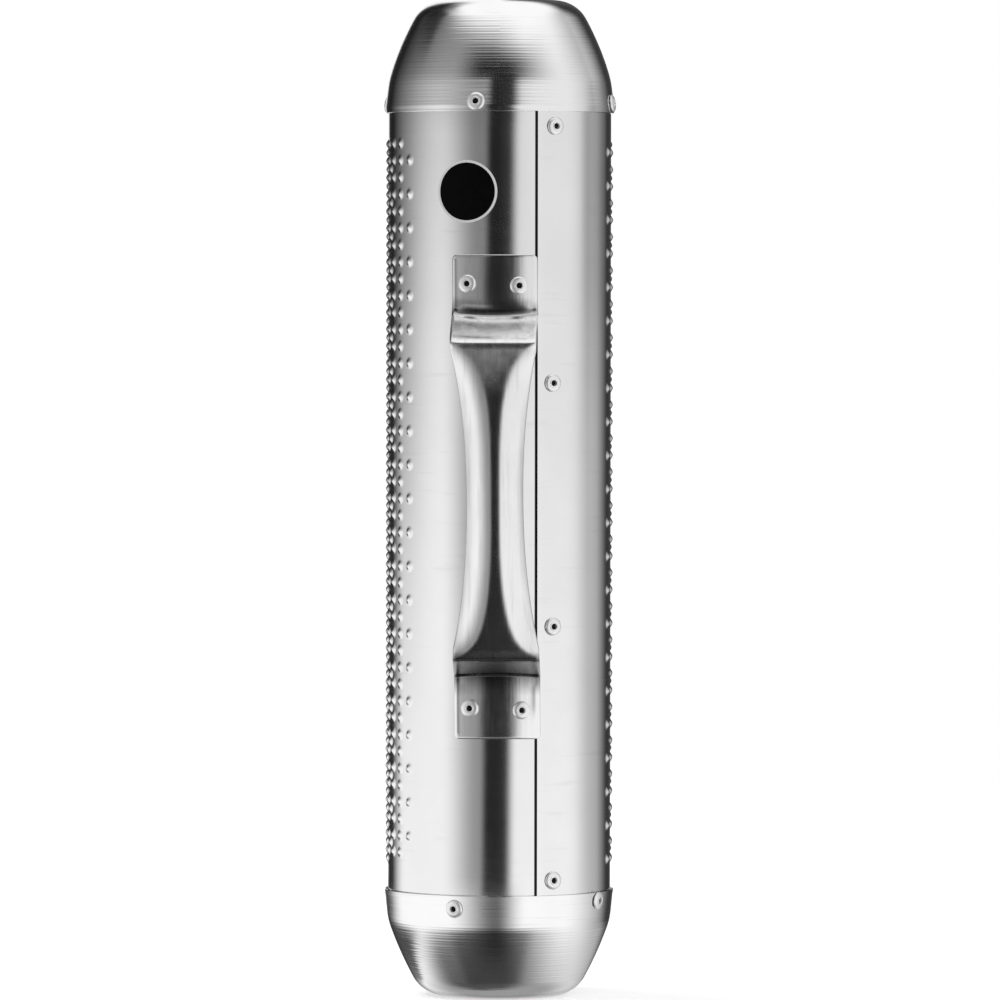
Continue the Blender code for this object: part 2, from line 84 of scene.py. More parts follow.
# A shoulder: the depth and the slope where the cone ends, then those where the skirt starts
UPPER_SHOULDER = (0.0310, 0.30, 0.0390, 0.125)
LOWER_SHOULDER = (0.0285, 0.365, 0.0375, 0.10)
UPPER_RIM_TURN = -0.00040
LOWER_RIM_TURN = 0.00010
RIM_TURN_LENGTH = 0.0026
SPIN_RIDGE = 0.000007
# The waves that make up the tool ridges: a share of their height, radians for a metre, and a phase
SPIN_WAVES = ((1.0, 3700.0, 0.0), (0.7, 5350.0, 1.7), (0.6, 2130.0, 0.6))
UPPER_CAP_RIVET_INSET = 0.0039
LOWER_CAP_RIVET_INSET = 0.0049
UPPER_CAP_RIVET_ANGLE = math.radians(-12.0)
LOWER_CAP_RIVET_ANGLE = math.radians(-23.0)
UPPER_CAP_RIVET_DRIFT = ((0.0, 0.0),) * 4
LOWER_CAP_RIVET_DRIFT = ((-0.0006, 0.0), (0.0016, -0.0060), (0.0, 0.0), (0.0, 0.0))

# Strap handle
HANDLE_THICKNESS = 0.0010
HANDLE_RISE = 0.0220
UPPER_FOOT_ANGLE = math.radians(-2.5)
LOWER_FOOT_ANGLE = math.radians(-0.9)
UPPER_FOOT_MARGIN = 0.0615
UPPER_FOOT_LENGTH = 0.0268
LOWER_FOOT_MARGIN = 0.0674
LOWER_FOOT_LENGTH = 0.0277
UPPER_RISER_RUN = 0.0089
LOWER_RISER_RUN = 0.0067
FOOT_HALF = 0.0188
FOOT_SPRING = 0.0136
FOOT_CORNER = 0.0022
LOWER_FOOT_LEAN = 0.014
TOE_LIFT = 0.0024
TOE_REACH = 0.0083
HANDLE_RIVET_SPACING = 0.0221
HANDLE_RIVET_OFFSET = -0.0007
HANDLE_RIVET_DROP = 0.0008
HANDLE_RIVET_MARGIN = 0.0128

# Grip of the handle; the powers say how late along the grip its width, its flat and its bend change
RIDGE_HALF = 0.0185
WAIST_HALF = 0.0124
WAIST_BEND = math.radians(62.0)
GRIP_BOW = 0.0030
FULL_WIDTH_FROM = 0.92
WIDENING_POWER = 2.2
FLAT_POWER = 4
UPPER_FLARE = 9.0
LOWER_FLARE = 20.0
# The shares of the bend that go, with their powers
UNBENDING = ((0.35, 2), (0.65, 12))
LEAST_BEND = 0.001

# Rounded folds of the handle, and the forms that pressing left along its edges
FOLD_REACH = 0.0012
# The largest share of the strip beside it that a rounded fold takes up
FOLD_MOST = 0.8
UPPER_RIDGE_REACH = 0.0032
UPPER_RISER_REACH = 0.0165
LOWER_RIDGE_REACH = 0.0008
LOWER_RISER_REACH = 0.0060
PINCH_DEPTH = 0.0004
PINCH_RADIUS = 0.0020
PINCH_INSET = 0.0022
PINCH_RISE = 0.0018
EDGE_ROLL = 0.0005
EDGE_ROLL_WIDTH = 0.0014
EDGE_LIP = 0.00018
EDGE_LIP_INSET = 0.0012
EDGE_LIP_WIDTH = 0.0006
EDGE_BEAD = 0.0004
EDGE_BEAD_INSET = 0.0010
EDGE_BEAD_WIDTH = 0.0026
EDGE_BEAD_FADE = (0.0120, 0.0270)

# Blind rivets and their mandrel stubs
RIVET_HEAD_RADIUS = 0.00385
RIVET_SHANK_RADIUS = 0.0020
RIVET_BORE_RADIUS = 0.0013
RIVET_COLLAR_WIDTH = 0.00066
RIVET_COLLAR_HEIGHT = 0.00022
RIVET_DOME_HEIGHT = 0.00102
RIVET_DOME_TURN = math.radians(74.0)
RIVET_EDGE_HEIGHT = 0.00014
# The head's rounded lower edge: shares of its radius, with heights
RIVET_UNDERSIDE = ((0.985, 0.00003), (0.95, 0.0))
RIVET_TAIL_RADIUS = 0.0028
RIVET_TAIL_LENGTH = 0.0030
# The set tail: shares of its radius, with shares of its length
RIVET_TAIL = ((0.96, 0.0), (1.0, 0.25), (0.8, 0.7))
# How far each rivet is turned on from the one before, in radians
RIVET_TURN = 2.4
MANDREL_RADIUS = 0.00122
# The snapped end: shares of the stub's radius, with heights
MANDREL_END = ((0.0, 0.00012), (0.35, 0.00008), (0.55, -0.00002), (0.9, -0.00006), (1.0, -0.00012))
MANDREL_HEAD_RADIUS = 0.0018
MANDREL_HEAD_LENGTH = 0.0014
# A share of the head's radius, at a share of its length
MANDREL_HEAD_TAPER = (0.86, 0.6)

# Round label
LABEL_RADIUS = 0.0134
LABEL_THICKNESS = 0.0002
LABEL_ANGLE = math.radians(-17.0)
LABEL_DROP = 0.0346
LABEL_BORDER = 0.00105
LABEL_EDGE_EASE = 0.3

# Grain of the finishes; scales of noise are for a metre, or for a radian round the drum
NOISE_RANGE = (0.3, 0.7)
BRUSH_ROTATION = 0.25
TUBE_SMUDGES = 34.0
# Round the drum, a slice of the noise, and along the drum
FINE_SCRATCHES = (2.0, 0.0, 1400.0)
COARSE_SCRATCHES = (1.3, 3.0, 240.0)
CAP_SMUDGES = 40.0
# Round the axis, out from it and along it
SPUN_RINGS = (0.8, 900.0, 900.0)
HANDLE_SMUDGES = 70.0
HANDLE_GRAIN = (900.0, 900.0, 60.0)
HANDLE_STREAKS = (420.0, 420.0, 30.0)
RIVET_DENTS = 900.0
RIVET_SMUDGES = 260.0
MANDREL_BREAKAGE = 2600.0
FILM_MOTTLE = 420.0

# Greys of the finishes, and their roughness, each from low to high
TUBE_GREYS = (0.85, 0.89)
TUBE_SCRATCH_GREY = 0.74
TUBE_WORN_GREY = 0.93
# Painted shade: the near-black strip along the lap's edge
TUBE_LAP_SHADE_GREY = 0.02
TUBE_ROUGHNESS = (0.09, 0.18)
CAP_GREYS = (0.93, 0.97)
CAP_RING_GREY = 0.70
CAP_ROUGHNESS = (0.08, 0.18)
HANDLE_GREYS = (0.88, 0.94)
HANDLE_STREAK_GREY = 0.60
# Painted shade beside the strap's folds
HANDLE_FOLD_SHADE_GREY = 0.18
HANDLE_ROUGHNESS = (0.09, 0.18)
HANDLE_HAZE = (0.20, 0.34)
RIVET_GREYS = (0.93, 0.98)
RIVET_ROUGHNESS = (0.16, 0.28)
# Near black: painted shade inside the rivets' bores
MANDREL_SHADE_GREYS = (0.006, 0.05)
MANDREL_ROUGHNESS = (0.4, 0.65)
LABEL_GREYS = (0.0015, 0.005)
LABEL_BORDER_GREYS = (0.72, 0.80)
FILM_ROUGHNESS = (0.38, 0.5)

# Worn and dull places, and places of painted shade: where each fades in or out, measured from an edge, a
# ridge or a fold
# Painted shade along the lap's edge, measured from it
LAP_SHADE_START = (-0.00105, -0.00085)
LAP_SHADE_END = (0.00002, 0.00006)
DULL_GRIP_START = (-0.026, -0.006)
DULL_GRIP_END = (-0.0050, -0.0034)
DULL_RISER_END = (-0.002, 0.0)
DULL_RIDGE_START = (-0.003, -0.001)
DULL_RIDGE_END = (0.002, 0.005)
DULL_RISER = 0.4
# Painted shade on the feet beside the folds: where it starts, how it fades, how dark it gets, and its
# wavering edge
FOLD_SHADE_START = (-0.0003, 0.0002)
UPPER_FOLD_SHADE_FADE = (0.0010, 0.0070)
UPPER_FOLD_SHADE = 0.6
LOWER_FOLD_SHADE_FADE = (0.0012, 0.0085)
LOWER_FOLD_SHADE = 0.88
LOWER_FOLD_SHADE_END = (0.001, 0.004)
FOLD_SHADE_WAVER = 0.006
# Shares of a bump's height
WORN_BUMP = (0.6, 1.0)
WORN_STRENGTH = 0.8

# Camera
CAMERA_DISTANCE = 3.46
CAMERA_HEIGHT = 0.3025
CAMERA_LENS = 287.9
CAMERA_SENSOR = 36.0
CAMERA_TILT = math.radians(-1.4626)
CAMERA_ROLL = math.radians(-0.075)
CAMERA_SIDE = 0.00015

# Studio; a lamp has a place, a width and a power
WORLD_LEVEL = 0.55
FLOOR_RADIUS = 1.5
FLOOR_GREY = 0.88
FLOOR_ROUGHNESS = 0.8
FLOOR_GLOW = 0.45
LAMPS = {"key": ((-1.1, 0.4, 2.0), 1.4, 14.0), "fill": ((1.6, -1.4, 1.2), 1.2, 9.0)}
LAMP_TARGET = Vector((0.0, 0.0, 0.2))
DOME_RADIUS = 0.55
DOME_HEIGHT = DRUM_LENGTH / 2.0
CARD_GREY = 0.008
# Dark cards on the dome: the azimuths and the elevations that each takes up (from, to, soft edge before, soft
# edge after, all in degrees), its lean in azimuth for a degree of elevation, and its darkness
DARK_CARDS = {
    "camera": ((-10, 7, 8, 12), (-25, 36, 4, 14), 0.12, 0.96),
    "camera left": ((-20, -2, 40, 12), (-24, 27, 2, 8), 0.0, 0.69),
    "crown": ((-18, 4, 36, 68), (44, 50, 13, 9), 0.0, 0.98),
    "left corner": ((-122, -100, 14, 12), (50, 60, 9, 5), 0.0, 0.75),
    "left wall": ((-119, -11, 59, 49), (56, 56, 68, 11), 0.0, 0.76),
    "left end": ((-135, -124, 19, 65), (21, 66, 44, 7), 0.0, 0.77),
    "left flag": ((-156, -142, 10, 31), (-22, 58, 15, 15), 0.0, 0.98),
    "right wall": ((23, 107, 34, 2), (14, 47, 42, 18), 0.0, 0.17),
    "right end": ((128, 150, 61, 21), (-33, 55, 29, 13), 0.0, 0.61),
    "right corner": ((104, 126, 16, 10), (12, 24, 10, 8), 0.0, 0.25),
    "right flag": ((144, 176, 30, 4), (-28, 55, 10, 12), 0.0, 0.92),
    "low camera": ((-3, -3, 51, 31), (-57, -28, 10, 5), 0.0, 0.87),
    "low front": ((-75, 7, 49, 75), (-80, -54, 13, 11), 0.0, 0.78),
    "floor": ((-180, 180, 2, 2), (-90, -71, 1, 31), 0.0, 0.68),
    "low middle": ((-48, 24, 16, 22), (-68, -52, 6, 6), 0.0, 0.45),
    "low left": ((-250, -237, 39, 27), (-43, -23, 4, 5), -2.8, 0.94),
    "back floor right": ((165, 185, 15, 5), (-62, -34, 10, 8), 0.0, 0.42),
    "back floor left": ((-185, -165, 5, 15), (-62, -34, 10, 8), 0.0, 0.42),
}

# Facets
SHEET_STEPS_PER_BUMP = 6
PLAIN_STEP = math.radians(1.5)
END_STEP = 0.0011
CAP_SEGMENTS = 160
CAP_STEP = 0.0002
CAP_SUM_STEPS = 80
CAP_FLAT_STEPS = 8
CAP_CORNER_STEPS = 48
RIM_STEPS = 6
RIVET_SEGMENTS = 40
COLLAR_STEPS = 8
RIVET_DOME_STEPS = 12
STRAP_COLUMNS = 48
GRIP_STEPS = 120
FOOT_STEP = 0.0008
FOLD_STEPS = 10
FOLD_CLEAR = 3
CORNER_STEPS = 8
LABEL_RINGS = 12
LABEL_SEGMENTS = 72
FLOOR_SEGMENTS = 96
DOME_DEGREES = 2
SMOOTH_ANGLE = math.radians(40.0)
MERGE_DISTANCE = 0.000001

# Sizes that follow from those above
TUBE_BOTTOM = BOWL_DEPTH + TUBE_END_GAP
TUBE_TOP = DRUM_LENGTH - TUBE_BOTTOM
TUBE_BORE = TUBE_RADIUS - SHEET_THICKNESS
LOWER_RIM = BOWL_DEPTH + LOWER_SKIRT
UPPER_RIM = DRUM_LENGTH - BOWL_DEPTH - UPPER_SKIRT
FOOT_RADIUS = TUBE_RADIUS + FIT_GAP + HANDLE_THICKNESS
FOOT_CURVE = FOOT_RADIUS + FOOT_SPRING
RIDGE_RADIUS = TUBE_RADIUS + HANDLE_RISE
RISER_RISE = RIDGE_RADIUS - FOOT_RADIUS
UPPER_FOOT_END = UPPER_RIM - UPPER_FOOT_MARGIN
LOWER_FOOT_END = LOWER_RIM + LOWER_FOOT_MARGIN
UPPER_FOLD = UPPER_FOOT_END - UPPER_FOOT_LENGTH
LOWER_FOLD = LOWER_FOOT_END + LOWER_FOOT_LENGTH
UPPER_RIDGE = UPPER_FOLD - UPPER_RISER_RUN
LOWER_RIDGE = LOWER_FOLD + LOWER_RISER_RUN
UPPER_FOOT_RIVETS = UPPER_FOOT_END - HANDLE_RIVET_MARGIN
LOWER_FOOT_RIVETS = LOWER_FOOT_END + HANDLE_RIVET_MARGIN


def polar(radius, angle, height):
    """The point at a radius, an angle from the front and a height."""
    return Vector((radius * math.sin(angle), -radius * math.cos(angle), height))


def radial_frame(radius, angle, height):
    """The placing of a piece whose own Z axis points straight out of the drum."""
    facing_front = Matrix.Rotation(math.radians(90.0), 4, "X")
    return Matrix.Translation(polar(radius, angle, height)) @ Matrix.Rotation(angle, 4, "Z") @ facing_front


def smooth_step(value):
    """A value from 0 to 1 with soft ends, held outside them."""
    share = min(max(value, 0.0), 1.0)
    return share * share * (3.0 - 2.0 * share)


def evenly(start, end, step):
    """Numbers from start to end, both included, no further apart than the step."""
    count = max(1, math.ceil(abs(end - start) / step))
    return [start + (end - start) * index / count for index in range(count + 1)]


def beside(place, ways):
    """Places at some ways up or down from a place."""
    return [place + way for way in ways]


def show(item, node):
    """Let a piece stand for a CAD node and ride on the one body."""
    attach(item, "root")
    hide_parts(node)


def put_in_scene(name, data):
    """An object of the scene that shows a mesh, a lamp or a camera."""
    item = bpy.data.objects.new(name, data)
    bpy.context.scene.collection.objects.link(item)
    return item


def add_object(name, mesh, *materials):
    """A smooth-shaded object of the scene from a mesh."""
    mesh.shade_smooth()
    mesh.set_sharp_from_angle(angle=SMOOTH_ANGLE)
    for material in materials:
        mesh.materials.append(material)
    return put_in_scene(name, mesh)


def mesh_from(bm, name):
    mesh = bpy.data.meshes.new(name)
    bm.to_mesh(mesh)
    bm.free()
    return mesh


def turned(name, profile, segments, closed):
    """Spin an outline of (radius, height) points round Z into a mesh."""
    bm = bmesh.new()
    points = [bm.verts.new((radius, 0.0, height)) for radius, height in profile]
    edges = [bm.edges.new(pair) for pair in zip(points, points[1:])]
    if closed:
        edges.append(bm.edges.new((points[-1], points[0])))
    bmesh.ops.spin(bm, geom=points + edges, cent=(0.0, 0.0, 0.0), axis=(0.0, 0.0, 1.0),
                   angle=2.0 * math.pi, steps=segments, use_merge=True)
    bmesh.ops.remove_doubles(bm, verts=bm.verts, dist=MERGE_DISTANCE)
    bmesh.ops.recalc_face_normals(bm, faces=bm.faces)
    return mesh_from(bm, name)


# Materials

def grey(level):
    """An opaque neutral colour."""
    return (level, level, level, 1.0)


class Nodes:
    """Short ways to add and join the nodes of one material."""

    # The sockets of a mix node that take and give colours
    MIX_INPUTS = (6, 7)
    MIX_RESULT = 2

    def __init__(self, name):
        self.material = bpy.data.materials.new(name)
        self.material.use_nodes = True
        self.tree = self.material.node_tree
        self.shader = self.tree.nodes["Principled BSDF"]

    def add(self, kind, **settings):
        node = self.tree.nodes.new(kind)
        for key, value in settings.items():
            setattr(node, key, value)
        return node

    def join(self, source, target):
        self.tree.links.new(source, target)

    def feed(self, value, socket):
        """Join a node's result to a socket, or set the socket to a plain value."""
        if isinstance(value, bpy.types.NodeSocket):
            self.join(value, socket)
        else:
            socket.default_value = value

    def shade(self, name, value):
        """Feed a socket of the shader."""
        self.feed(value, self.shader.inputs[name])

    def math(self, operation, first, second=0.0):
        """The result of a math node; its inputs are numbers or other results."""
        node = self.add("ShaderNodeMath", operation=operation)
        self.feed(first, node.inputs[0])
        self.feed(second, node.inputs[1])
        return node.outputs[0]

    def plus(self, first, second):
        return self.math("ADD", first, second)

    def minus(self, first, second):
        return self.math("SUBTRACT", first, second)

    def times(self, first, second):
        return self.math("MULTIPLY", first, second)

    def blend(self, first, second, share):
        """Two values in one, with a share of the second."""
        return self.plus(self.times(first, 1.0 - share), self.times(second, share))

    def vector(self, *parts):
        node = self.add("ShaderNodeCombineXYZ")
        for part, socket in zip(parts, node.inputs):
            self.feed(part, socket)
        return node.outputs[0]

    def noise(self, vector, scale, detail=3.0, roughness=0.6):
        node = self.add("ShaderNodeTexNoise")
        self.join(vector, node.inputs["Vector"])
        for name, level in (("Scale", scale), ("Detail", detail), ("Roughness", roughness)):
            node.inputs[name].default_value = level
        return node.outputs["Fac"]

    def streaks(self, axes, scales, detail=3.0, roughness=0.6):
        """Noise with a scale of its own along each of three axes."""
        stretched = [self.times(axis, scale) for axis, scale in zip(axes, scales)]
        return self.noise(self.vector(*stretched), 1.0, detail, roughness)

    def between(self, value, low, high, start=0.0, end=1.0):
        """A value mapped from low..high to start..end, held at both ends."""
        node = self.add("ShaderNodeMapRange")
        self.join(value, node.inputs["Value"])
        for name, level in (("From Min", low), ("From Max", high), ("To Min", start), ("To Max", end)):
            node.inputs[name].default_value = level
        return node.outputs["Result"]

    def spread(self, noise, start=0.0, end=1.0):
        """A noise mapped from its usual range to start..end."""
        return self.between(noise, *NOISE_RANGE, start, end)

    def within(self, value, fade_in, fade_out):
        """1 between two places, with a fade at either place."""
        return self.times(self.between(value, *fade_in), self.between(value, *fade_out, 1.0, 0.0))

    def place(self):
        """The object coordinates: the whole vector, then x, y and z."""
        coordinates = self.add("ShaderNodeTexCoord").outputs["Object"]
        split = self.add("ShaderNodeSeparateXYZ")
        self.join(coordinates, split.inputs[0])
        return coordinates, split.outputs[0], split.outputs[1], split.outputs[2]

    def round_axis(self, x, y):
        """The angle round the axis, from the front, and the distance from the axis."""
        angle = self.math("ARCTAN2", x, self.times(y, -1.0))
        return angle, self.math("SQRT", self.plus(self.times(x, x), self.times(y, y)))

    def mix(self, factor, first, second):
        """A colour between two; a plain number stands for a grey."""
        node = self.add("ShaderNodeMix", data_type="RGBA")
        self.join(factor, node.inputs["Factor"])
        for value, socket in zip((first, second), self.MIX_INPUTS):
            self.feed(grey(value) if isinstance(value, float) else value, node.inputs[socket])
        return node.outputs[self.MIX_RESULT]

    def bump(self, height, strength, distance=0.0002):
        node = self.add("ShaderNodeBump")
        node.inputs["Strength"].default_value = strength
        node.inputs["Distance"].default_value = distance
        self.join(height, node.inputs["Height"])
        self.shade("Normal", node.outputs["Normal"])


def brushed(nodes, grain, roughness, anisotropy):
    """Satin metal: a grain drives the roughness, and reflections stretch across the brush lines."""
    nodes.shade("Metallic", 1.0)
    nodes.shade("Roughness", nodes.spread(grain, *roughness))
    nodes.shade("Anisotropic", anisotropy)
    nodes.shade("Anisotropic Rotation", BRUSH_ROTATION)
    tangent = nodes.add("ShaderNodeTangent", direction_type="RADIAL", axis="Z")
    nodes.shade("Tangent", tangent.outputs[0])


def tube_finish():
    """Bright rolled sheet: scratches run round the drum, bumps are worn bright, and a near-black line of
    painted shade lies along the lap's edge.
    """
    nodes = Nodes("rolled_steel")
    coordinates, x, y, z = nodes.place()
    angle, radius = nodes.round_axis(x, y)
    fine = nodes.streaks((angle, 1.0, z), FINE_SCRATCHES, roughness=0.65)
    coarse = nodes.streaks((angle, 1.0, z), COARSE_SCRATCHES, detail=2.0, roughness=0.5)
    smudge = nodes.noise(coordinates, TUBE_SMUDGES)
    grain = nodes.blend(fine, coarse, share=0.45)
    brushed(nodes, nodes.blend(grain, smudge, share=0.4), TUBE_ROUGHNESS, anisotropy=0.55)
    steel = nodes.mix(nodes.spread(smudge), *TUBE_GREYS)
    scratched = nodes.between(coarse, low=0.62, high=0.72, end=0.35)
    steel = nodes.mix(scratched, steel, TUBE_SCRATCH_GREY)
    worn_heights = [TUBE_RADIUS + share * BUMP_HEIGHT for share in WORN_BUMP]
    steel = nodes.mix(nodes.between(radius, *worn_heights, end=WORN_STRENGTH), steel, TUBE_WORN_GREY)
    # Painted shade: a near-black strip on the under sheet along the lap's edge, where the step shades it
    from_seam = nodes.times(nodes.minus(angle, SEAM_ANGLE), TUBE_RADIUS)
    lap_shade = nodes.within(from_seam, LAP_SHADE_START, LAP_SHADE_END)
    nodes.shade("Base Color", nodes.mix(lap_shade, steel, TUBE_LAP_SHADE_GREY))
    nodes.bump(grain, strength=0.10)
    return nodes.material


def cap_finish():
    """Spun metal: fine rings round the axis."""
    nodes = Nodes("spun_steel")
    coordinates, x, y, z = nodes.place()
    angle, radius = nodes.round_axis(x, y)
    rings = nodes.streaks((angle, radius, z), SPUN_RINGS)
    smudge = nodes.noise(coordinates, CAP_SMUDGES)
    brushed(nodes, nodes.blend(rings, smudge, share=0.3), CAP_ROUGHNESS, anisotropy=0.5)
    steel = nodes.mix(nodes.spread(smudge), *CAP_GREYS)
    ringed = nodes.between(rings, low=0.60, high=0.72, end=0.35)
    nodes.shade("Base Color", nodes.mix(ringed, steel, CAP_RING_GREY))
    nodes.bump(rings, strength=0.16)
    return nodes.material


def handle_finish():
    """Pressed strap: satin with a faint grain, duller where it was stretched, and darkened by painted shade
    beside its folds.
    """
    nodes = Nodes("pressed_steel")
    coordinates, x, y, z = nodes.place()
    grain = nodes.streaks((x, y, z), HANDLE_GRAIN)
    smudge = nodes.noise(coordinates, HANDLE_SMUDGES)
    satin = nodes.blend(grain, smudge, share=0.5)

    grip_end = beside(UPPER_RIDGE, DULL_GRIP_END)
    on_grip = nodes.within(z, beside(UPPER_RIDGE, DULL_GRIP_START), grip_end)
    on_riser = nodes.within(z, grip_end, beside(UPPER_FOLD, DULL_RISER_END))
    on_ridge = nodes.within(z, beside(LOWER_RIDGE, DULL_RIDGE_START), beside(LOWER_RIDGE, DULL_RIDGE_END))
    dulled = nodes.plus(on_grip, nodes.times(nodes.plus(on_riser, on_ridge), DULL_RISER))
    haze = nodes.times(dulled, nodes.spread(smudge, *HANDLE_HAZE))
    nodes.shade("Roughness", nodes.plus(nodes.spread(satin, *HANDLE_ROUGHNESS), haze))
    nodes.shade("Metallic", 1.0)

    steel = nodes.mix(nodes.spread(smudge), *HANDLE_GREYS)
    streaks = nodes.streaks((x, y, z), HANDLE_STREAKS)
    steel = nodes.mix(nodes.between(streaks, low=0.5, high=0.75, end=0.5), steel, HANDLE_STREAK_GREY)
    # Painted shade: the feet darken towards the concave folds, with a wavering edge
    waver = nodes.times(nodes.minus(satin, 0.5), FOLD_SHADE_WAVER)
    sag = nodes.times(nodes.times(x, x), 1.0 / (2.0 * FOOT_CURVE * RISER_RISE))
    above = nodes.minus(nodes.minus(z, UPPER_FOLD), nodes.times(sag, UPPER_RISER_RUN))
    below = nodes.minus(nodes.minus(LOWER_FOLD, z), nodes.times(sag, LOWER_RISER_RUN))
    upper_shade = nodes.between(nodes.plus(above, waver), *UPPER_FOLD_SHADE_FADE, UPPER_FOLD_SHADE, 0.0)
    upper_shade = nodes.times(upper_shade, nodes.between(above, *FOLD_SHADE_START))
    lower_shade = nodes.between(nodes.plus(below, waver), *LOWER_FOLD_SHADE_FADE, LOWER_FOLD_SHADE, 0.0)
    lower_end = nodes.between(z, *beside(LOWER_RIDGE, LOWER_FOLD_SHADE_END), 1.0, 0.0)
    fold_shade = nodes.plus(upper_shade, nodes.times(lower_shade, lower_end))
    nodes.shade("Base Color", nodes.mix(fold_shade, steel, HANDLE_FOLD_SHADE_GREY))
    nodes.bump(grain, strength=0.06)
    return nodes.material


def rivet_finish():
    """Bright aluminium with small dents from setting."""
    nodes = Nodes("rivet_aluminium")
    coordinates = nodes.place()[0]
    dents = nodes.noise(coordinates, RIVET_DENTS, detail=2.0, roughness=0.5)
    smudge = nodes.noise(coordinates, RIVET_SMUDGES, detail=2.0, roughness=0.5)
    nodes.shade("Metallic", 0.6)
    nodes.shade("Roughness", nodes.spread(smudge, *RIVET_ROUGHNESS))
    nodes.shade("Base Color", nodes.mix(nodes.between(dents, low=0.35, high=0.65), *RIVET_GREYS))
    nodes.bump(dents, strength=0.12)
    return nodes.material


def mandrel_shade_finish():
    """Dull steel with a rough snapped end, near black as painted shade for the dark inside of the rivet's
    bore.
    """
    nodes = Nodes("mandrel_steel")
    coordinates = nodes.place()[0]
    breakage = nodes.noise(coordinates, MANDREL_BREAKAGE, roughness=0.7)
    nodes.shade("Metallic", 1.0)
    nodes.shade("Roughness", nodes.spread(breakage, *MANDREL_ROUGHNESS))
    nodes.shade("Base Color", nodes.mix(nodes.between(breakage, low=0.4, high=0.7), *MANDREL_SHADE_GREYS))
    nodes.bump(breakage, strength=0.2)
    return nodes.material


def film_finish(name, greys):
    """Printed film with a faint mottle."""
    nodes = Nodes(name)
    coordinates = nodes.place()[0]
    mottle = nodes.noise(coordinates, FILM_MOTTLE)
    nodes.shade("Base Color", nodes.mix(mottle, *greys))
    nodes.shade("Roughness", nodes.spread(mottle, *FILM_ROUGHNESS))
    nodes.shade("Specular IOR Level", 0.03)
    nodes.bump(mottle, strength=0.05, distance=0.0001)
    return nodes.material


# Drum sheet

def tuck(height):
    """How far the sheet's ends draw in under the caps."""
    beyond = max(height - UPPER_RIM, LOWER_RIM - height)
    return TUBE_TUCK * smooth_step(beyond / TUBE_TUCK_LENGTH)


def sheet_radius(angle):
    """Outside radius of the rolled sheet, at an angle counted on from its visible edge."""
    from_edge = (angle - SEAM_ANGLE) * TUBE_RADIUS
    lap = SEAM_STEP * (1.0 - smooth_step((from_edge - SEAM_OVERLAP) / SEAM_RAMP))
    spring = SEAM_SPRING * (1.0 - smooth_step(from_edge / SEAM_SPRING_REACH))
    return TUBE_RADIUS + lap + spring


def bump_is_there(column, row, columns, rows):
    """Whether the lattice point at a column and a row has a bump."""
    if not (0 <= column < columns and 0 <= row < rows and (column + row) % 2 == 1):
        return False
    from_right = column
    from_left = columns - 1 - column
    from_edge = min(from_right, from_left)
    keep = EDGE_THINNING[from_edge] if from_edge < len(EDGE_THINNING) else 1
    if keep == 0:
        return False
    first = 0 if from_right < from_left else keep - 1
    return (row // 2 - first) % keep == 0


